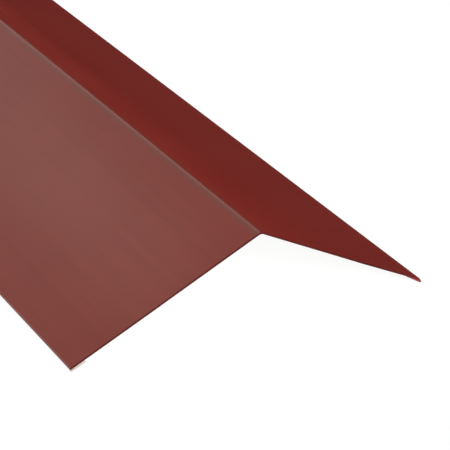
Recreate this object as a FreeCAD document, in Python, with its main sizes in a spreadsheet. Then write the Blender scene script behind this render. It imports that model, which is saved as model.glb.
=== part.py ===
import FreeCAD, Part
import math
import os

import Sketcher
from FreeCAD import Vector

# A roof ridge cap: one long strip of coated steel sheet, folded along its middle to cover
# the joint where two roof slopes meet. The ridge is a rounded bend, and both long edges
# are folded under as open hems, which hide the cut edge and keep the wide flanges straight.
# X runs along the ridge, Y across it and Z up. The cap stands on its two hems at Z = 0,
# with the ridge plane at Y = 0 and the two cut ends equally far from X = 0.

NODE = "ridge_cap"

# Alias, value in millimetres (the angle in degrees), and what it is on the cap.
SIZES = (
    ("cap_length", 2000.0, "length along the ridge, as sold"),
    ("flange_width", 145.0, "sharp ridge line to the outside of the hem fold, on the top face"),
    ("ridge_angle", 127.0, "angle between the two flanges, seen from below"),
    ("ridge_inside_radius", 4.0, "inside radius of the ridge bend"),
    ("sheet_thickness", 0.5, "steel with its coats"),
    ("hem_width", 11.0, "outside of the hem fold to the free edge of the sheet"),
    ("hem_gap", 1.5, "clear space between the flange and its folded hem"),
)

HALF_TURN = 180.0
VOLUME_TOLERANCE = 1e-6

# A sketch counts the points of a line or arc up from one, and its own axes down from minus one.
START, END, CENTRE = range(1, 4)
LEVEL_AXIS, UPRIGHT_AXIS = range(-1, -3, -1)


def write_sizes(doc):
    """Fills the sheet of driving sizes, one row each: name, value, meaning."""
    sheet = doc.addObject("Spreadsheet::Sheet", "Sizes")
    for row, (alias, value, meaning) in enumerate(SIZES, start=1):
        sheet.set(f"A{row}", alias)
        sheet.set(f"B{row}", str(value))
        sheet.setAlias(f"B{row}", alias)
        sheet.set(f"C{row}", meaning)
    doc.recompute()
    return sheet


def origin_plane(body, role):
    """One of the body's own three base planes, by its role."""
    for feature in body.Origin.OriginFeatures:
        if feature.Role == role:
            return feature
    raise RuntimeError(f"{body.Label} has no {role}")


class FoldedStrip:
    """Lengths and directions of the right half of the section, from the driving sizes.

    Sketch x is the cap's Y and sketch y is its Z. The half strip starts at the ridge
    plane, turns down through half of the ridge bend, runs straight along the flange,
    turns half a circle under and runs straight back along the hem.
    """

    def __init__(self, sheet):
        self.thickness = float(sheet.sheet_thickness)
        self.pitch = math.radians((HALF_TURN - float(sheet.ridge_angle)) / 2)
        self.down = Vector(math.cos(self.pitch), -math.sin(self.pitch), 0)
        self.out = Vector(math.sin(self.pitch), math.cos(self.pitch), 0)

        self.ridge_inside = float(sheet.ridge_inside_radius)
        self.ridge_outside = self.ridge_inside + self.thickness
        self.hem_inside = float(sheet.hem_gap) / 2
        self.hem_outside = self.hem_inside + self.thickness

        sharp_to_bend = self.ridge_outside * math.tan(self.pitch)
        self.flange_run = float(sheet.flange_width) - sharp_to_bend - self.hem_outside
        self.hem_run = float(sheet.hem_width) - self.hem_outside

        from_ridge_to_hem = self.out * (self.ridge_outside - self.hem_outside)
        from_ridge_to_hem = from_ridge_to_hem + self.down * self.flange_run
        self.ridge_centre = Vector(0, self.hem_outside - from_ridge_to_hem.y, 0)
        self.hem_centre = self.ridge_centre + from_ridge_to_hem
        sharp_rise = self.ridge_outside / math.cos(self.pitch)
        self.sharp_ridge = self.ridge_centre + Vector(0, sharp_rise, 0)

    def half_width(self):
        """Width of half the flat strip, along the middle of its thickness."""
        ridge_bend = self.pitch * (self.ridge_inside + self.thickness / 2)
        hem_bend = math.pi * (self.hem_inside + self.thickness / 2)
        return ridge_bend + self.flange_run + hem_bend + self.hem_run


def draw_half_section(body, strip):
    """Draws the right half of the folded sheet on the plane square to the ridge."""
    sketch = body.newObject("Sketcher::SketchObject", "half_section")
    sketch.AttachmentSupport = [(origin_plane(body, "YZ_Plane"), "")]
    sketch.MapMode = "FlatFace"

    facing = math.pi / 2 - strip.pitch
    square = Vector(0, 0, 1)

    def line(start, end):
        return sketch.addGeometry(Part.LineSegment(start, end), False)

    def arc(centre, radius, first, last):
        circle = Part.Circle(centre, square, radius)
        return sketch.addGeometry(Part.ArcOfCircle(circle, first, last), False)

    def ridge_arc(radius):
        return arc(strip.ridge_centre, radius, facing, math.pi / 2)

    def hem_arc(radius):
        return arc(strip.hem_centre, radius, facing - math.pi, facing)

    # The top coat's side of the sheet: ridge, flange, fold and the underside of the hem.
    bend_top = strip.ridge_centre + strip.out * strip.ridge_outside
    fold_top = strip.hem_centre + strip.out * strip.hem_outside
    fold_below = strip.hem_centre - strip.out * strip.hem_outside
    edge_below = fold_below - strip.down * strip.hem_run
    ridge_over = ridge_arc(strip.ridge_outside)
    flange_over = line(bend_top, fold_top)
    hem_over = hem_arc(strip.hem_outside)
    return_over = line(fold_below, edge_below)

    # The free cut edge, then the back coat's side up to the ridge again.
    edge_within = edge_below + strip.out * strip.thickness
    fold_within = strip.hem_centre - strip.out * strip.hem_inside
    flange_low = strip.hem_centre + strip.out * strip.hem_inside
    bend_low = strip.ridge_centre + strip.out * strip.ridge_inside
    free_edge = line(edge_below, edge_within)
    return_under = line(edge_within, fold_within)
    hem_under = hem_arc(strip.hem_inside)
    flange_under = line(flange_low, bend_low)
    ridge_under = ridge_arc(strip.ridge_inside)

    # The cut in the ridge plane, where the other half joins on.
    crest_over = strip.ridge_centre + Vector(0, strip.ridge_outside, 0)
    crest_under = strip.ridge_centre + Vector(0, strip.ridge_inside, 0)
    ridge_cut = line(crest_over, crest_under)

    # The sharp line where the two top faces would meet without a bend.
    sharp_ridge = sketch.addGeometry(Part.Point(strip.sharp_ridge), True)

    def tie(*terms):
        return sketch.addConstraint(Sketcher.Constraint(*terms))

    # Every bend runs smoothly into the straight sheet next to it.
    tie("Tangent", ridge_over, START, flange_over, START)
    tie("Tangent", flange_over, END, hem_over, END)
    tie("Tangent", hem_over, START, return_over, START)
    tie("Tangent", return_under, END, hem_under, START)
    tie("Tangent", hem_under, END, flange_under, START)
    tie("Tangent", flange_under, END, ridge_under, START)

    # Square corners at the free edge and in the ridge plane.
    tie("Coincident", return_over, END, free_edge, START)
    tie("Coincident", free_edge, END, return_under, START)
    tie("Coincident", ridge_over, END, ridge_cut, START)
    tie("Coincident", ridge_under, END, ridge_cut, END)
    tie("Perpendicular", return_over, free_edge)
    tie("PointOnObject", ridge_cut, START, UPRIGHT_AXIS)
    tie("PointOnObject", ridge_cut, END, UPRIGHT_AXIS)

    # Both faces of a bend share one centre, so the sheet keeps its thickness there.
    tie("Coincident", ridge_over, CENTRE, ridge_under, CENTRE)
    tie("Coincident", hem_over, CENTRE, hem_under, CENTRE)
    tie("PointOnObject", ridge_over, CENTRE, UPRIGHT_AXIS)

    # The hem lies parallel to its flange.
    tie("Parallel", flange_over, return_over)
    tie("Parallel", return_over, return_under)

    tie("PointOnObject", sharp_ridge, START, UPRIGHT_AXIS)
    tie("PointOnObject", sharp_ridge, START, flange_over)

    def size(name, formula, *terms):
        number = tie(*terms)
        sketch.renameConstraint(number, name)
        sketch.setExpression(f"Constraints.{name}", formula)

    hem_outside = "(Sizes.hem_gap / 2 + Sizes.sheet_thickness) * 1 mm"
    half_angle = math.pi / 2 - strip.pitch
    to_fold = strip.sharp_ridge.distanceToPoint(fold_top)
    size(
        "half_ridge_angle",
        "Sizes.ridge_angle / 2 * 1 deg",
        "Angle", ridge_cut, START, flange_over, START, half_angle,
    )
    size(
        "ridge_inside_radius",
        "Sizes.ridge_inside_radius * 1 mm",
        "Radius", ridge_under, strip.ridge_inside,
    )
    size(
        "ridge_outside_radius",
        "(Sizes.ridge_inside_radius + Sizes.sheet_thickness) * 1 mm",
        "Radius", ridge_over, strip.ridge_outside,
    )
    size(
        "sharp_ridge_to_fold",
        f"Sizes.flange_width * 1 mm - {hem_outside}",
        "Distance", sharp_ridge, START, flange_over, END, to_fold,
    )
    size(
        "hem_inside_radius",
        "Sizes.hem_gap / 2 * 1 mm",
        "Radius", hem_under, strip.hem_inside,
    )
    size(
        "hem_outside_radius",
        hem_outside,
        "Radius", hem_over, strip.hem_outside,
    )
    size(
        "hem_run",
        f"Sizes.hem_width * 1 mm - {hem_outside}",
        "Distance", return_over, START, return_over, END, strip.hem_run,
    )
    size(
        "hem_centre_height",
        hem_outside,
        "DistanceY", LEVEL_AXIS, START, hem_over, CENTRE, strip.hem_outside,
    )
    return sketch


def fold_cap(doc, strip):
    """Carries the half section along the whole ridge and mirrors it to the other slope."""
    body = doc.addObject("PartDesign::Body", NODE)
    body.Label = NODE
    sketch = draw_half_section(body, strip)

    half = body.newObject("PartDesign::Pad", "half_cap")
    half.Profile = sketch
    half.SideType = "Symmetric"
    half.setExpression("Length", "Sizes.cap_length * 1 mm")

    whole = body.newObject("PartDesign::Mirrored", "whole_cap")
    whole.Originals = [half]
    whole.MirrorPlane = (origin_plane(body, "XZ_Plane"), [""])
    body.Tip = whole
    doc.recompute()
    if not sketch.FullyConstrained:
        raise RuntimeError("the half section still has a free size")
    return body


def check_document(doc):
    """Stops at any object that did not come out right."""
    for item in doc.Objects:
        if "Invalid" in item.State or "Error" in item.State:
            raise RuntimeError(f"{item.Label} failed: {item.State}")


def check_sheet(body, sheet, strip):
    """Stops unless the cap is one sheet: flat strip width x thickness x length."""
    shape = body.Shape
    if shape.isNull() or not shape.isValid() or len(shape.Solids) != 1:
        raise RuntimeError(f"{body.Label} is not one sound solid")
    strip_width = 2 * strip.half_width()
    expected = strip_width * strip.thickness * float(sheet.cap_length)
    if abs(shape.Volume - expected) > VOLUME_TOLERANCE * expected:
        raise RuntimeError(f"sheet volume {shape.Volume:.3f}, expected {expected:.3f}")
    box = shape.BoundBox
    print(f"flat strip width {strip_width:.2f} mm, volume {shape.Volume:.1f} mm3")
    print(f"cap {box.XLength:.2f} x {box.YLength:.2f} x {box.ZLength:.2f} mm")
    print(f"lowest point {box.ZMin:.4f} mm, faces {len(shape.Faces)}")


def main():
    doc = FreeCAD.newDocument("RoofRidgeCap")
    sheet = write_sizes(doc)
    strip = FoldedStrip(sheet)
    cap = fold_cap(doc, strip)
    check_document(doc)
    check_sheet(cap, sheet, strip)
    os.makedirs("parts", exist_ok=True)
    cap.Shape.exportStep(os.path.join("parts", f"{cap.Label}.step"))


main()
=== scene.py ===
# %% [markdown]
# # A roof ridge cap
#
# The cap is one long strip of coated steel sheet. It is folded along its middle, so that it
# covers the joint where two roof slopes meet, and both long edges are folded under as open
# hems. This lesson dresses the measured CAD model: it makes the sheet again as a fine
# surface with four finishes, and then sets up the floor, the light and the camera.
#
# The CAD model comes in first.

# %% Load the measured cap
import math

import bpy
import numpy as np
from mathutils import Matrix


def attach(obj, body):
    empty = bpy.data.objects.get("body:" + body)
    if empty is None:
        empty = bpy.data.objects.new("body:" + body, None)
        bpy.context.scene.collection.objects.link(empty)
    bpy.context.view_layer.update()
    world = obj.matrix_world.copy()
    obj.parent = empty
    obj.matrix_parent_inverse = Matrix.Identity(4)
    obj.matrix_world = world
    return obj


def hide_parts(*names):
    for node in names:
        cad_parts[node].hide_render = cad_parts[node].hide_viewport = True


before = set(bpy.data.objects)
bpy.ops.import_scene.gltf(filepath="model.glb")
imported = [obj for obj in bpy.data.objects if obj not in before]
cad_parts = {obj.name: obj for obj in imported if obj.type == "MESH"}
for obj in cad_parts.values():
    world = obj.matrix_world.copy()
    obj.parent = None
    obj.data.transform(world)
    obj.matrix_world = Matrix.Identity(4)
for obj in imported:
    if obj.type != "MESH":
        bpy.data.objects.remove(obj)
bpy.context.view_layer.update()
print("CAD nodes:", sorted(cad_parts))

# %% [markdown]
# ## The flat strip
#
# A folding machine never sees a solid: it sees a flat strip and a list of bends. So the
# shape is written down the same way, as the widths of the straight runs and the angle and
# radius of each bend. All lengths are in metres, and those of a bend are measured along
# the middle of the sheet's thickness, which neither stretches nor shrinks much.

# %% Sizes of the strip and its bends
MM = 0.001
CAP_LENGTH = 2000 * MM
FLANGE_WIDTH = 145 * MM
RIDGE_ANGLE = math.radians(127)
RIDGE_INSIDE_RADIUS = 4 * MM
SHEET_THICKNESS = 0.5 * MM
HEM_WIDTH = 11 * MM
HEM_GAP = 1.5 * MM

pitch = (math.pi - RIDGE_ANGLE) / 2
ridge_radius = RIDGE_INSIDE_RADIUS + SHEET_THICKNESS / 2
hem_radius = (HEM_GAP + SHEET_THICKNESS) / 2
hem_outside = hem_radius + SHEET_THICKNESS / 2

ridge_tangent = (RIDGE_INSIDE_RADIUS + SHEET_THICKNESS) * math.tan(pitch)
flange_run = FLANGE_WIDTH - ridge_tangent - hem_outside
hem_run = HEM_WIDTH - hem_outside
fold_run = math.pi * hem_radius
ridge_run = 2 * pitch * ridge_radius

run_widths = np.array([
    hem_run, fold_run, flange_run, ridge_run, flange_run, fold_run, hem_run,
])
run_turns = np.array([0, math.pi, 0, 2 * pitch, 0, math.pi, 0])
print("Strip width in mm:", round(run_widths.sum() / MM, 2))
print("Slope of each flange in degrees:", round(math.degrees(pitch), 2))

# %% [markdown]
# ## Walking across the section
#
# The section could be drawn from arcs and lines with their centres worked out one by one.
# It is simpler to walk across it: start at one free edge and keep a heading that stays
# constant on a straight run and turns evenly in a bend. All bends of this cap turn the same
# way, so the top coat is always on the walker's left.

# %% Stations across the strip
RUN_STEPS = np.array([4, 20, 44, 28, 44, 20, 4])


def across_the_strip(widths, turns, steps):
    """Distances walked and headings at every station.

    Each run is divided into equal steps. Distance grows by width / steps per step, and the
    heading falls by turn / steps per step, so it is straight or an even bend.
    """
    step_widths = np.repeat(widths / steps, steps)
    step_turns = np.repeat(turns / steps, steps)
    walked = np.concatenate([[0.0], np.cumsum(step_widths)])
    heading = math.pi + pitch - np.concatenate([[0.0], np.cumsum(step_turns)])
    return walked, heading


def walk(walked, heading):
    """Places across (Y) and up (Z) along the walk.

    Over one step the heading changes evenly from a to b, so the step follows an exact arc:
    its chord points along (a + b) / 2 and is shorter than the step by sin(d) / d, where d
    is half of the change.
    """
    step = np.diff(walked)
    middle = (heading[1:] + heading[:-1]) / 2
    chord = step * np.sinc(np.diff(heading) / 2 / math.pi)
    across = np.concatenate([[0.0], np.cumsum(chord * np.cos(middle))])
    up = np.concatenate([[0.0], np.cumsum(chord * np.sin(middle))])
    return across, up


walked, heading = across_the_strip(run_widths, run_turns, RUN_STEPS)
strip_width = walked[-1]
across, up = walk(walked, heading)
across -= (across[0] + across[-1]) / 2
left = np.stack([-np.sin(heading), np.cos(heading)])
up -= (up + left[1] * SHEET_THICKNESS / 2).min()

# how far along the walk both flanges begin and end, and where the right hem's strip begins
left_fold, ridge_start, ridge_end, right_fold, right_hem = np.cumsum(run_widths)[1:6]
print("Stations across:", len(walked))
print("Ridge height in mm:", round((up.max() + SHEET_THICKNESS / 2) / MM, 2))

# %% [markdown]
# ## Stations along the cap
#
# Along the ridge the strip is straight, so few stations would do. They are still close
# enough to carry the slight waves of a thin sheet, and they crowd together at the two cut
# ends, where the shears have pressed the top edge down a little.

# %% Stations along the ridge
END_STATIONS = MM * np.array([
    0.0, 0.05, 0.12, 0.22, 0.4, 0.8, 1.2, 1.6, 2.0, 2.5, 3.0, 3.5, 4.5, 7.0,
])
STATION_PITCH = 16 * MM

half_length = CAP_LENGTH / 2
inner_half = half_length - END_STATIONS[-1] - STATION_PITCH / 2
inner_count = int(round(2 * inner_half / STATION_PITCH)) + 1
inner = np.linspace(-inner_half, inner_half, inner_count)
along = np.concatenate([
    -half_length + END_STATIONS,
    inner,
    (half_length - END_STATIONS)[::-1],
])
print("Stations along:", len(along))

# %% [markdown]
# ## A thin sheet is never quite flat
#
# A wide flange of half-millimetre steel always carries long shallow waves, a tenth of a
# millimetre high, that show only as slow changes in its shine. The bends hold the sheet
# straight, so the waves fade out towards the ridge and the hems. They could be a noise
# texture, but a few sine waves of uneven lengths are easy to read and never repeat within
# one cap.

# %% Waves in the flanges
WAVE_HEIGHT = 0.09 * MM
WAVE_LENGTHS = np.array([0.31, 0.47, 0.83])
WAVE_SHARES = np.array([0.25, 0.35, 0.4])
LEFT_PHASES = np.array([0.6, 2.1, 4.4])
RIGHT_PHASES = np.array([3.3, 5.2, 1.0])
CROWN_HEIGHT = 0.12 * MM


def flange_share(first, last):
    """0 outside a flange and at its two bends, 1 half way across: sin squared between them."""
    part = np.clip((walked - first) / (last - first), 0, 1)
    return np.sin(math.pi * part) ** 2


def long_waves(phases):
    """Sum of sine waves along the ridge, each a share of the height with its own length."""
    angle = 2 * math.pi * along[:, None] / WAVE_LENGTHS + phases
    return (WAVE_SHARES * np.sin(angle)).sum(axis=1)


left_share = flange_share(left_fold, ridge_start)
right_share = flange_share(ridge_end, right_fold)
slack = WAVE_HEIGHT * np.outer(left_share, long_waves(LEFT_PHASES))
slack += WAVE_HEIGHT * np.outer(right_share, long_waves(RIGHT_PHASES))
slack += CROWN_HEIGHT * right_share[:, None]
print("Largest rise of a wave in mm:", round(slack.max() / MM, 3))

# %% [markdown]
# ## The edge that the shears drew down
#
# At both cut ends the blade has drawn the top edge down by a few hundredths of a millimetre,
# which makes it catch less light. A bevel would cut the edge off instead, so the top is
# lowered by a ramp that grows with the square of the way to the cut.

# %% Drawn-down edge
SHEAR_REACH = 0.4 * MM
SHEAR_DROP = 0.06 * MM


def fade(distance, reach):
    """1 at distance 0 and below, falling evenly to 0 at the reach, and 0 beyond it."""
    return np.clip(1 - distance / reach, 0, 1)


from_end = half_length - np.abs(along)
sheared = SHEAR_DROP * fade(from_end, SHEAR_REACH) ** 2
print("Stations with a drawn-down edge:", (sheared > 0).sum())

# %% [markdown]
# ## The cut that runs back at the corners
#
# The near end was not cut quite square. Towards the right corner the cut runs back by three
# millimetres over the outer part of the flange, and by a little more along the strip that
# is folded under it. Towards the left corner it runs back by a third of a millimetre. The
# corners could be cut off with a Boolean modifier, but it is enough to slide the stations
# back along the ridge: most at the cut, and less and less further in.

# %% Trimmed corners of the near end
TRIM_REACH = 55 * MM
TRIM_DEPTH = 3.3 * MM
STRIP_TRIM_DEPTH = 1.4 * MM
LEFT_TRIM_DEPTH = 0.35 * MM
TRIM_FADE = 60 * MM

from_near_end = half_length - along
to_fold = np.maximum(right_fold - walked, 0)
to_left_fold = np.maximum(walked - left_fold, 0)
past_fold = np.clip((walked - right_hem) / hem_run, 0, 1)
trim_depth = TRIM_DEPTH * fade(to_fold, TRIM_REACH)
trim_depth += STRIP_TRIM_DEPTH * past_fold
trim_depth += LEFT_TRIM_DEPTH * fade(to_left_fold, TRIM_REACH)
trim = np.outer(trim_depth, fade(from_near_end, TRIM_FADE))
print("Deepest trim in mm:", round(trim.max() / MM, 2))

# %% [markdown]
# ## The corner that the shears pinched
#
# At the right corner the blade has pinched the hem shut: the last two millimetres of the
# flange slope down, the fold is squeezed from below, and the free edge of the strip under
# it is pushed up, so the red top shows instead of the open hem. It could be sculpted by
# hand, but three ramps are enough. The first starts at a slanted line and falls steadily
# from there, and it takes the fold along, less and less towards its lower side. The second
# raises that lower side, and the third turns the strip about it.

# %% Pinched corner of the right hem
PRESS_REACH = 14 * MM
PRESS_DEPTH = 2.2 * MM
PRESS_SLOPE = 0.48
PINCH_HEIGHT = 0.42 * MM
LIFT_HEIGHT = 0.72 * MM
LIFT_REACH = 40 * MM

# 1 on the flange, falling to 0 through the fold, and 0 on the strip under it
fold_turn = np.clip(-pitch - heading, 0, math.pi)
fold_height = ((1 + np.cos(fold_turn)) / 2) ** 2

# how far each corner lies past the slanted line, times the slope
press_share = fade(to_fold, PRESS_REACH)
past_line = np.maximum(PRESS_DEPTH * press_share[:, None] - from_near_end, 0)
press_drop = PRESS_SLOPE * fold_height[:, None] * past_line

# what is pushed up counts against the drop
pinch_share = fade(from_near_end, PRESS_DEPTH)
press_drop -= PINCH_HEIGHT * np.outer(1 - fold_height, pinch_share)
lift_share = fade(from_near_end, LIFT_REACH) ** 2
press_drop -= LIFT_HEIGHT * np.outer(past_fold, lift_share)

# square to the right flange, down and inwards
press_way = -np.array([math.sin(pitch), math.cos(pitch)])
print("Deepest pressing in mm:", round(press_drop.max() / MM, 2))

# %% [markdown]
# ## From stations to a sheet
#
# The walk gives the middle of the sheet. Moving it half a thickness to the left gives the
# coated top, and to the right the back, and the two are closed with narrow strips at the
# cut ends and the free edges. A Solidify modifier could do this too, but here every face
# is known by the side it is on, so each gets its own finish.

# %% Top and back surfaces
def sheet_side(offset):
    """Middle of the sheet moved by offset (a whole grid) to the walker's left, then pressed."""
    y = across[:, None] + left[0][:, None] * offset + press_way[0] * press_drop
    z = up[:, None] + left[1][:, None] * offset + press_way[1] * press_drop
    return np.stack([along - trim, y, z], axis=-1)


half_sheet = SHEET_THICKNESS / 2
top_side = sheet_side(slack + half_sheet - sheared)
back_side = sheet_side(slack - half_sheet)
corners = np.concatenate([top_side.reshape(-1, 3), back_side.reshape(-1, 3)])
print("Corners of the sheet:", len(corners))

# %% Faces of the closed sheet
count_across, count_along = top_side.shape[:2]
top_number = np.arange(count_across * count_along).reshape(count_across, count_along)
back_number = top_number + top_number.size


def quads(a, b, c, d):
    """Four equal arrays of corner numbers become one row of four per face."""
    return np.stack([a.ravel(), b.ravel(), c.ravel(), d.ravel()], axis=1)


def side_faces(number):
    """Faces of one side: along the ridge first, then across, which faces the walker's left."""
    return quads(number[:-1, :-1], number[:-1, 1:], number[1:, 1:], number[1:, :-1])


def end_faces(station):
    """Faces of a cut end, from the top down to the back and on across: they face +X."""
    t, b = top_number[:, station], back_number[:, station]
    return quads(t[:-1], b[:-1], b[1:], t[1:])


def edge_faces(station):
    """Faces of a free edge, along the ridge first and then down: they face onwards."""
    t, b = top_number[station], back_number[station]
    return quads(t[:-1], t[1:], b[1:], b[:-1])


face_groups = {
    "top": side_faces(top_number),
    "back": side_faces(back_number)[:, ::-1],
    "near end": end_faces(-1),
    "far end": end_faces(0)[:, ::-1],
    "right edge": edge_faces(-1),
    "left edge": edge_faces(0)[:, ::-1],
}
faces = np.concatenate(list(face_groups.values()))
print("Faces of the sheet:", {name: len(group) for name, group in face_groups.items()})

# %% [markdown]
# Each group of faces has one finish, apart from the top. There the faces beside a cut belong
# to a narrow rim that the blade has crushed. It is told by the distance of each face from
# the cut, so no edge has to be marked by hand.

# %% Which finish each face has
TOP, BACK, CUT, RIM = range(4)
RIM_WIDTH = 1.2 * MM
WIDE_RIM_WIDTH = 2.4 * MM
RIM_TAPER = 12 * MM


def top_finish():
    """RIM for the faces whose middle is within its width of a cut end, TOP for all others.

    The rim is wide on the right half of the near end. There it narrows evenly over the
    taper, to nothing half way across the pinched corner.
    """
    middle_from_end = (from_end[1:] + from_end[:-1]) / 2
    slid = np.outer(walked[1:] > strip_width / 2, along[1:] > 0)
    taper_share = np.clip((to_fold[1:] - PRESS_REACH / 2) / RIM_TAPER, 0, 1)
    wide_rim = WIDE_RIM_WIDTH * taper_share[:, None]
    near_cut = middle_from_end < np.where(slid, wide_rim, RIM_WIDTH)
    return np.where(near_cut, RIM, TOP).ravel()


group_finish = [top_finish(), BACK, CUT, CUT, CUT, CUT]
face_finish = np.concatenate([
    np.broadcast_to(finish, len(group))
    for finish, group in zip(group_finish, face_groups.values())
])
print("Faces on the rim:", (face_finish == RIM).sum())

# %% [markdown]
# ## Where the patterns lie
#
# The coats were rolled on while the strip was flat, so their streaks follow the strip and
# not the folded shape. A UV map that holds each corner's place on the flat strip, in
# metres, carries them through every bend. Named values mark the places where a finish
# differs: the ridge bend, which carries a painted highlight, the hems, and the pinched corner.

# %% Marks for the finishes
BEND_FADE = 0.6 * MM


def nearness_to_ridge():
    """1 in the ridge bend, falling evenly to 0 over the fade distance next to it."""
    gap = np.maximum(ridge_start - walked, walked - ridge_end)
    return fade(gap, BEND_FADE)


def share_of_hem():
    """1 on the folded-under runs, falling evenly to 0 through the fold, 0 on the flanges."""
    from_edge = np.minimum(walked, strip_width - walked)
    return np.clip((left_fold - from_edge) / fold_run, 0, 1)


def pinched_part():
    """1 over the outer half of the pressed reach, fading over the other half, at the cut only."""
    share = fade(to_fold - PRESS_REACH / 2, PRESS_REACH / 2)
    return np.outer(share, from_near_end < PRESS_DEPTH)


corner_marks = {
    "bend": nearness_to_ridge()[:, None],
    "hem": share_of_hem()[:, None],
    "pressed": pinched_part(),
}
print("Marks on the corners:", list(corner_marks))

# %% Mesh helpers
def new_mesh(name, corners, faces):
    """A mesh from an array of corners and an array of corner numbers per face."""
    mesh = bpy.data.meshes.new(name)
    mesh.from_pydata(corners.tolist(), [], faces.tolist())
    return mesh


def into_scene(name, data):
    """An object that shows the data (a mesh, a camera or a lamp), put into the scene."""
    thing = bpy.data.objects.new(name, data)
    bpy.context.scene.collection.objects.link(thing)
    return thing


def mark_corners(mesh, name, grid_values):
    """Stores a grid of values (stations across by along) as a named value on the corners."""
    values = np.tile(np.broadcast_to(grid_values, top_number.shape).ravel(), 2)
    mark = mesh.attributes.new(name, "FLOAT", "POINT")
    mark.data.foreach_set("value", values.astype(np.float32))


def open_edges(faces):
    """Number of edges that don't have exactly two faces: each face lists its four edges."""
    ends = np.stack([faces, np.roll(faces, -1, axis=1)], axis=-1).reshape(-1, 2)
    uses = np.unique(np.sort(ends, axis=1), axis=0, return_counts=True)[1]
    return int((uses != 2).sum())


print("Open edges of the sheet:", open_edges(faces))

# %% Put the sheet into a mesh
SHARP_FROM = math.radians(40)

sheet_mesh = new_mesh("ridge_cap_sheet", corners, faces)
sheet_mesh.polygons.foreach_set("material_index", face_finish.astype(np.int32))

loop_corner = faces.ravel()
strip_place = np.stack(np.meshgrid(along, walked - strip_width / 2), axis=-1)
strip_place = np.tile(strip_place.reshape(-1, 2), (2, 1))
strip_map = sheet_mesh.uv_layers.new(name="flat_strip")
strip_map.data.foreach_set("uv", strip_place[loop_corner].astype(np.float32).ravel())

for mark_name, grid_values in corner_marks.items():
    mark_corners(sheet_mesh, mark_name, grid_values)

sheet_mesh.shade_smooth()
sheet_mesh.set_sharp_from_angle(angle=SHARP_FROM)
sheet_mesh.update()
sheet = into_scene("ridge_cap_sheet", sheet_mesh)
print("Corners and faces of the mesh:", len(sheet_mesh.vertices), len(sheet_mesh.polygons))

# %% [markdown]
# ## A helper for finishes
#
# Every finish below is a small tree of nodes. The helper adds one node at a time: its
# properties by name, and for each input either a value or the socket that feeds it.

# %% Node helper
def place(tree, kind, inputs=None, **settings):
    """Adds a node of that kind, sets its properties, and fills or links its inputs."""
    node = tree.nodes.new(kind)
    for name, value in settings.items():
        setattr(node, name, value)
    for name, value in (inputs or {}).items():
        if isinstance(value, bpy.types.NodeSocket):
            tree.links.new(value, node.inputs[name])
        else:
            node.inputs[name].default_value = value
    return node


def new_finish(name):
    """A material and its tree of nodes, which holds only the output."""
    finish = bpy.data.materials.new(name)
    finish.use_nodes = True
    tree = finish.node_tree
    tree.nodes.clear()
    place(tree, "ShaderNodeOutputMaterial")
    return finish, tree


def show(finish, shader):
    """Sends a shader to the output of the finish, and prints how large its tree is."""
    tree = finish.node_tree
    tree.links.new(shader, tree.get_output_node("ALL").inputs["Surface"])
    print(f"Nodes of {finish.name}:", len(tree.nodes))


def coat(finish, inputs):
    """Gives the finish one surface shader with those inputs."""
    surface = place(finish.node_tree, "ShaderNodeBsdfPrincipled", inputs)
    show(finish, surface.outputs["BSDF"])


print("Node helpers are ready")

# %% [markdown]
# The patterns of the finishes are all made from noise: on the flat strip where a roller
# left streaks, and in the object's own space where the pattern has no direction. A pattern
# then mixes two colours, moves a value between two limits, or stands out as bumps.

# %% Mixing helpers
MIX_SHARE, MIX_A, MIX_B, MIX_RESULT = 0, 6, 7, 2


def mix_colours(tree, share, first, second):
    """Colour between two: first where share is 0, second where it is 1."""
    inputs = {MIX_SHARE: share, MIX_A: first, MIX_B: second}
    node = place(tree, "ShaderNodeMix", inputs, data_type="RGBA")
    return node.outputs[MIX_RESULT]


def rescale(tree, value, low, high):
    """Value of 0 to 1 moved to the range from low to high."""
    inputs = {"Value": value, "To Min": low, "To Max": high}
    return place(tree, "ShaderNodeMapRange", inputs).outputs["Result"]


def part_of_span(tree, value, first, last):
    """0 where the value is first or less, 1 where it is last or more, even between them."""
    inputs = {"Value": value, "From Min": first, "From Max": last}
    return place(tree, "ShaderNodeMapRange", inputs).outputs["Result"]


print("Mixing helpers are ready")

# %% Noise helpers
def flat_strip_noise(tree, along_scale, across_scale, detail):
    """Noise on the flat strip, stretched along the ridge like a roller's streaks."""
    strip = place(tree, "ShaderNodeUVMap", uv_map="flat_strip")
    stretched = place(
        tree,
        "ShaderNodeMapping",
        {"Vector": strip.outputs["UV"], "Scale": (along_scale, across_scale, 1)},
    )
    noise = place(
        tree,
        "ShaderNodeTexNoise",
        {"Vector": stretched.outputs["Vector"], "Scale": 1, "Detail": detail},
    )
    return noise.outputs["Fac"]


def solid_noise(tree, scale, detail):
    """Noise in the object's own space, the same in every direction."""
    spot = place(tree, "ShaderNodeTexCoord")
    noise = place(
        tree,
        "ShaderNodeTexNoise",
        {"Vector": spot.outputs["Object"], "Scale": scale, "Detail": detail},
    )
    return noise.outputs["Fac"]


def bumps(tree, pattern, height, below=None):
    """Direction of a surface that the pattern raises by up to height, over the bumps below."""
    inputs = {"Height": pattern, "Distance": height}
    if below is not None:
        inputs["Normal"] = below
    return place(tree, "ShaderNodeBump", inputs).outputs["Normal"]


print("Noise helpers are ready")
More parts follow.
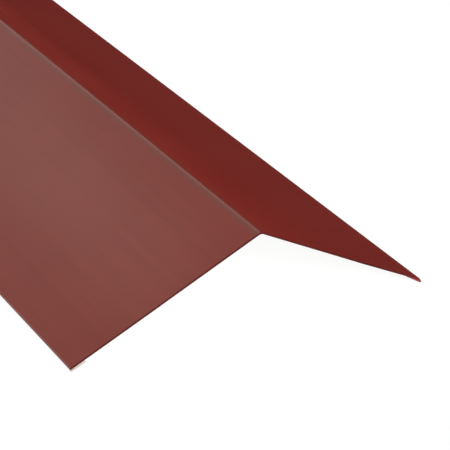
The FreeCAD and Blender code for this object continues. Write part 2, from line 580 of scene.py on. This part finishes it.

# %% [markdown]
# ## The brown-red top coat
#
# Roofing coil is coated in a continuous line and baked. The coat is an even satin with
# a very fine orange peel, and only long faint streaks along the strip tell that a roller
# put it on. Along the ridge bend the colour is greyer: a painted highlight, on top of the
# bend's own real shine. Elsewhere the colour and the roughness vary by a few hundredths,
# which is all that such a coat shows.

# %% Top coat
COAT_DEEP = (0.180, 0.0162, 0.0122, 1)
COAT_LIGHT = (0.206, 0.0217, 0.0166, 1)
# greyer colour of the ridge bend and its share there: a painted highlight
COAT_RIDGE_HIGHLIGHT = (0.130, 0.041, 0.030, 1)
COAT_ROUGHNESS = (0.27, 0.33)
COAT_IOR = 1.4
COAT_SHEEN_TINT = (1.0, 0.95, 0.65, 1)
STREAKS = {"along_scale": 2.5, "across_scale": 140, "detail": 3}
CLOUDS = {"scale": 16, "detail": 3}
CLOUD_SPAN = (0.68, 1.32)
RIDGE_HIGHLIGHT_SHARE = 0.55
FLOW = {"scale": 60, "detail": 2}
FLOW_HEIGHT = 6e-6
PEEL = {"scale": 620, "detail": 1}
PEEL_HEIGHT = 4e-6

top_coat, tree = new_finish("brown_red_coat")
streaks = flat_strip_noise(tree, **STREAKS)
clouds = solid_noise(tree, **CLOUDS)
both = place(tree, "ShaderNodeMath", {0: streaks, 1: clouds}, operation="ADD")
lightness = part_of_span(tree, both.outputs[0], *CLOUD_SPAN)
even_coat = mix_colours(tree, lightness, COAT_DEEP, COAT_LIGHT)
bend = place(tree, "ShaderNodeAttribute", attribute_name="bend")
# stretched is the share of the painted highlight colour, full in the ridge bend
stretched = rescale(tree, bend.outputs["Fac"], 0, RIDGE_HIGHLIGHT_SHARE)
flow = bumps(tree, solid_noise(tree, **FLOW), FLOW_HEIGHT)
coat(top_coat, {
    "Base Color": mix_colours(tree, stretched, even_coat, COAT_RIDGE_HIGHLIGHT),
    "Roughness": rescale(tree, streaks, *COAT_ROUGHNESS),
    "IOR": COAT_IOR,
    "Specular Tint": COAT_SHEEN_TINT,
    "Normal": bumps(tree, solid_noise(tree, **PEEL), PEEL_HEIGHT, below=flow),
})

# %% [markdown]
# ## The pale back coat
#
# The side that faces the roof only gets a thin primer, here a pale warm grey. It is duller
# than the top, and its roller streaks are plainer to see. It shows inside the hems and
# all over the underside.

# %% Back coat
BACK_PALE = (0.71, 0.68, 0.60, 1)
BACK_GREY = (0.64, 0.61, 0.54, 1)
BACK_ROUGHNESS = (0.52, 0.64)
BACK_STREAKS = {"along_scale": 1.6, "across_scale": 210, "detail": 4}
BACK_GRAIN = {"scale": 420, "detail": 2}
BACK_GRAIN_HEIGHT = 6e-6

back_coat, tree = new_finish("pale_back_coat")
streaks = flat_strip_noise(tree, **BACK_STREAKS)
coat(back_coat, {
    "Base Color": mix_colours(tree, streaks, BACK_GREY, BACK_PALE),
    "Roughness": rescale(tree, streaks, *BACK_ROUGHNESS),
    "Normal": bumps(tree, solid_noise(tree, **BACK_GRAIN), BACK_GRAIN_HEIGHT),
})

# %% [markdown]
# ## The cut edges
#
# The cap is sheared to length after it is folded, with the blade coming from above. On the
# flanges the blade meets the top coat first and draws it down over the steel, so the edge
# is a dark red line with a rare glint of steel. On the hems it meets the back coat first,
# so that edge stays pale, except at the pinched corner, where the red is drawn over all.

# %% Cut edge
EDGE_DARK = (0.055, 0.005, 0.004, 1)
EDGE_PALE = (0.56, 0.54, 0.48, 1)
EDGE_PRESSED = (0.20, 0.046, 0.037, 1)
STEEL_GLINT = (0.30, 0.29, 0.28, 1)
GLINT_SHARE = (0.0, 0.06)
EDGE_ROUGHNESS = (0.45, 0.6)
EDGE_SHINE = 0.12
SCRATCHES = {"scale": 900, "detail": 3}

cut_edge, tree = new_finish("sheared_edge")
scratches = solid_noise(tree, **SCRATCHES)
hem_side = place(tree, "ShaderNodeAttribute", attribute_name="hem")
corner = place(tree, "ShaderNodeAttribute", attribute_name="pressed")
drawn_coat = mix_colours(tree, hem_side.outputs["Fac"], EDGE_DARK, EDGE_PALE)
drawn_coat = mix_colours(tree, corner.outputs["Fac"], drawn_coat, EDGE_PRESSED)
bare_share = rescale(tree, scratches, *GLINT_SHARE)
coat(cut_edge, {
    "Base Color": mix_colours(tree, bare_share, drawn_coat, STEEL_GLINT),
    "Roughness": rescale(tree, scratches, *EDGE_ROUGHNESS),
    "Specular IOR Level": EDGE_SHINE,
})

# %% [markdown]
# ## The crushed rim
#
# Beside each cut the blade has crushed the top coat over a width of about a millimetre, and
# two where it slid towards the pinched corner. The coat is darker there and has lost its
# sheen, so the ends are drawn with a crisp dark line. A dark line could be mixed into the
# top coat, but its gloss would still shine through, so the rim's faces have a dull finish
# of their own, with fine scuffs.

# %% Crushed rim
RIM_DARK = (0.080, 0.0085, 0.0068, 1)
RIM_LIGHT = (0.115, 0.0135, 0.0110, 1)
RIM_ROUGHNESS = (0.45, 0.6)
RIM_SHINE = 0.12
SCUFFS = {"scale": 700, "detail": 3}

crushed_rim, tree = new_finish("crushed_rim")
scuffs = solid_noise(tree, **SCUFFS)
coat(crushed_rim, {
    "Base Color": mix_colours(tree, scuffs, RIM_DARK, RIM_LIGHT),
    "Roughness": rescale(tree, scuffs, *RIM_ROUGHNESS),
    "Specular IOR Level": RIM_SHINE,
})

# %% [markdown]
# ## The sheet takes the place of the CAD node
#
# The order of the material slots is the order of the four kinds of face above. The sheet
# rides on the cap's only body and stands for the CAD solid, which stays behind for
# collision.

# %% Finish the sheet
for finish in (top_coat, back_coat, cut_edge, crushed_rim):
    sheet_mesh.materials.append(finish)
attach(sheet, "root")
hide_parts("ridge_cap")
print("Finishes on the sheet:", [m.name for m in sheet_mesh.materials])

# %% [markdown]
# ## The camera
#
# The straight edges of the cap meet at vanishing points, and those give the lens and the
# viewing angle. It is a long lens from a little over a metre away, turned by three degrees
# about its own axis. The camera looks at a point close to the near end of the ridge.

# %% Camera
FRAME_PIXELS = 450
FOCAL_PIXELS = 1991.3
SENSOR_WIDTH = 36
VIEW_AZIMUTH = math.radians(59.081)
VIEW_ELEVATION = math.radians(26.836)
VIEW_ROLL = math.radians(2.750)
VIEW_DISTANCE = 1226.1 * MM
VIEW_AIM = np.array([987.84, -19.14, 70.38]) * MM


def standing(right, upward, back, spot):
    """Placement of a camera or lamp: its three axes and its spot as columns of a matrix."""
    placement = np.eye(4)
    placement[:3] = np.column_stack([right, upward, back, spot])
    return Matrix(placement.tolist())


level = math.cos(VIEW_ELEVATION)
back = np.array([
    math.sin(VIEW_AZIMUTH) * level,
    -math.cos(VIEW_AZIMUTH) * level,
    math.sin(VIEW_ELEVATION),
])
flat_right = np.array([math.cos(VIEW_AZIMUTH), math.sin(VIEW_AZIMUTH), 0])
flat_up = np.cross(back, flat_right)
right = math.cos(VIEW_ROLL) * flat_right + math.sin(VIEW_ROLL) * flat_up
upward = np.cross(back, right)

camera_data = bpy.data.cameras.new("photo_camera")
camera_data.sensor_width = SENSOR_WIDTH
camera_data.lens = SENSOR_WIDTH * FOCAL_PIXELS / FRAME_PIXELS
camera = into_scene("photo_camera", camera_data)
camera.matrix_world = standing(right, upward, back, VIEW_AIM + back * VIEW_DISTANCE)
bpy.context.scene.camera = camera
print("Lens in mm:", round(camera_data.lens, 1))

# %% [markdown]
# ## The white floor
#
# The floor and the surroundings are white to the camera and to reflections, but they send
# only ordinary daylight to the cap, so its colours stay as they are written. The trick is
# the Light Path node: it tells what kind of ray is asking. Around the cap the floor keeps a
# share of ordinary shading, and with it the cap's soft shadow. Further out that share fades
# away, so the floor meets the surroundings without a horizon line. Seen from below it is
# clear, so that the underside of the cap can be looked at too.

# %% Who is looking
WHITE = (1, 1, 1, 1)
BLACK = (0, 0, 0, 1)


def larger(tree, first, second):
    """The larger of two values."""
    inputs = {0: first, 1: second}
    return place(tree, "ShaderNodeMath", inputs, operation="MAXIMUM").outputs[0]


def seen_share(tree):
    """1 for camera, glossy and transmission rays, 0 for the rays that light the cap."""
    ray = place(tree, "ShaderNodeLightPath").outputs
    looking = larger(tree, ray["Is Camera Ray"], ray["Is Glossy Ray"])
    return larger(tree, looking, ray["Is Transmission Ray"])


print("Ray helpers are ready")

# %% Floor paint
FLOOR_GREY = (0.8, 0.8, 0.8, 1)
FLOOR_BOUNCE = 0.2
FLOOR_SHADE = (0.11, 0.11, 0.11, 1)
FLOOR_GLOW = 0.91
FLOOR_FADE = (1.3, 4.5)
FLOOR_WHITE = 1.0
MATT_ROUGHNESS = 1.0
MATT_SHINE = 0.0

floor_paint, tree = new_finish("white_floor")
seen = seen_share(tree)
spot = place(tree, "ShaderNodeTexCoord").outputs["Object"]
distance = place(tree, "ShaderNodeVectorMath", {0: spot}, operation="LENGTH")
far_out = part_of_span(tree, distance.outputs["Value"], *FLOOR_FADE)
shadow_share = mix_colours(tree, far_out, FLOOR_SHADE, BLACK)
glow = rescale(tree, far_out, FLOOR_GLOW, FLOOR_WHITE)
floor_inputs = {
    "Base Color": mix_colours(tree, seen, FLOOR_GREY, shadow_share),
    "Roughness": MATT_ROUGHNESS,
    "Specular IOR Level": MATT_SHINE,
    "Emission Color": WHITE,
    "Emission Strength": rescale(tree, seen, FLOOR_BOUNCE, glow),
}
upper_side = place(tree, "ShaderNodeBsdfPrincipled", floor_inputs).outputs["BSDF"]
lower_side = place(tree, "ShaderNodeBsdfTransparent").outputs["BSDF"]
from_below = place(tree, "ShaderNodeNewGeometry").outputs["Backfacing"]
both_sides = {0: from_below, 1: upper_side, 2: lower_side}
two_sides = place(tree, "ShaderNodeMixShader", both_sides)
show(floor_paint, two_sides.outputs["Shader"])

# %% Floor
FLOOR_REACH = 30
FLOOR_DROP = 0.05 * MM

floor_corners = FLOOR_REACH * np.array([[-1, -1, 0], [1, -1, 0], [1, 1, 0], [-1, 1, 0]])
floor_mesh = new_mesh("floor", floor_corners - [0, 0, FLOOR_DROP], np.array([[0, 1, 2, 3]]))
floor_mesh.materials.append(floor_paint)
floor = into_scene("floor", floor_mesh)
print("Floor side in m:", 2 * FLOOR_REACH)

# %% [markdown]
# ## The surroundings
#
# The world is the wide soft light of a pale room, and again plain white to whoever looks
# at it directly or in a reflection.

# %% World
ROOM_LIGHT = 0.05
ROOM_WHITE = 1.0

world = bpy.data.worlds.new("pale_room")
world.use_nodes = True
tree = world.node_tree
tree.nodes.clear()
strength = rescale(tree, seen_share(tree), ROOM_LIGHT, ROOM_WHITE)
room = place(tree, "ShaderNodeBackground", {"Color": WHITE, "Strength": strength})
place(tree, "ShaderNodeOutputWorld", {"Surface": room.outputs["Background"]})
bpy.context.scene.world = world
print("Room light:", ROOM_LIGHT)

# %% [markdown]
# ## Cards that only reflections see
#
# A satin coat mirrors softly what stands around it, and seen at a flat angle it mirrors a
# lot. A photographer steers that with cards. A dark card behind the cap keeps the white
# floor out of the far flange, so that it stays deep red, and a grey one in front of it lies
# on the strip of floor next to that eave. A long pale card hangs over the near flange and
# gives it a mild sheen along its middle, and a short bright one goes on from there towards
# the near end. Another long one stands beside that flange and draws a bright line on the
# round fold of its eave. Here all of them are visible to reflections only, so they neither
# shade the cap nor light it.

# %% Cards
ON_FLOOR = 0.3 * MM
GREY_TO_DARK = 0.33
BEHIND = (-4.0, 1.6)
OVERHEAD = [(-0.125, 0.17), (-0.046, 0.17)]
PALE_TO_BRIGHT = 0.60

CARDS = {
    "dark_card": {
        "line": [(GREY_TO_DARK, ON_FLOOR), (0.62, ON_FLOOR), (0.62, 0.46)],
        "ends": BEHIND,
        "glow": 0,
    },
    "grey_card": {
        "line": [(0.131, ON_FLOOR), (GREY_TO_DARK, ON_FLOOR)],
        "ends": BEHIND,
        "glow": 0.028,
    },
    "pale_card": {"line": OVERHEAD, "ends": (-1.0, PALE_TO_BRIGHT), "glow": 1.22},
    "bright_card": {"line": OVERHEAD, "ends": (PALE_TO_BRIGHT, 0.84), "glow": 1.46},
    "eave_card": {"line": [(-0.50, 0.05), (-0.50, 0.36)], "ends": (-2.5, 1.2), "glow": 2.5},
}
BLIND_RAYS = ("camera", "diffuse", "transmission", "volume_scatter", "shadow")


def reflection_card(name, line, ends, glow):
    """A line across (Y and Z in metres) carried along X from one end to the other."""
    paint, tree = new_finish(name)
    light = place(tree, "ShaderNodeEmission", {"Strength": glow})
    show(paint, light.outputs["Emission"])
    count = len(line)
    card_corners = np.column_stack([np.repeat(ends, count), np.tile(line, (2, 1))])
    first = np.arange(count - 1)
    card_faces = quads(first, first + count, first + count + 1, first + 1)
    card_mesh = new_mesh(name, card_corners, card_faces)
    card_mesh.materials.append(paint)
    card = into_scene(name, card_mesh)
    for ray in BLIND_RAYS:
        setattr(card, f"visible_{ray}", False)


for card_name, card_values in CARDS.items():
    reflection_card(card_name, **card_values)
print("Cards:", list(CARDS))

# %% [markdown]
# ## The lamps
#
# One large soft box far in front of the near end does most of the work: it lights both
# flanges alike, and it looks into the open ends of the hems. A long box on the far side
# fills the flange that falls away from the camera, and a slim lamp with a grid brushes over
# that flange next to the ridge and fades out half way down. All of them are kept out of the
# reflections, which the room and the cards already give. For that a lamp is hidden from
# glossy rays, and its multiple importance sampling is off too, because that would bring a
# part of its reflection back.

# %% Lamps
OPEN_BEAM = 180
LAMPS = {
    "front_box": {
        "stand": (7.0, -0.8, 3.4), "aim": (0.6, 0, 0.03), "size": (2.6, 1.8), "power": 675,
    },
    "far_box": {
        "stand": (0, 1.5, 1.1), "aim": (0, 0, 0.03), "size": (4.0, 0.6), "power": 22.5,
    },
    "ridge_brush": {
        "stand": (0, 0.6, 0.42), "aim": (0, 0, 0.066), "size": (3.6, 0.02), "power": 0.158,
        "beam": 8.5,
    },
}


def soft_lamp(name, stand, aim, size, power, beam=OPEN_BEAM):
    """A rectangular lamp at a point, turned to the aim, with its long side level.

    Places and sizes are in metres, the power in watts and the beam's spread in degrees.
    """
    data = bpy.data.lights.new(name, "AREA")
    data.shape = "RECTANGLE"
    data.size, data.size_y = size
    data.energy = power
    data.spread = math.radians(beam)
    data.cycles.use_multiple_importance_sampling = False
    lamp = into_scene(name, data)
    away = np.subtract(stand, aim)
    away = away / np.linalg.norm(away)
    side = np.cross([0, 0, 1], away)
    side = side / np.linalg.norm(side)
    lamp.matrix_world = standing(side, np.cross(away, side), away, stand)
    lamp.visible_camera = False
    lamp.visible_glossy = False


for lamp_name, lamp_values in LAMPS.items():
    soft_lamp(lamp_name, **lamp_values)
print("Lamps:", list(LAMPS))

# %% [markdown]
# ## Colours on the screen
#
# The colours go to the screen unchanged.

# %% Screen colours
bpy.context.scene.view_settings.view_transform = "Standard"
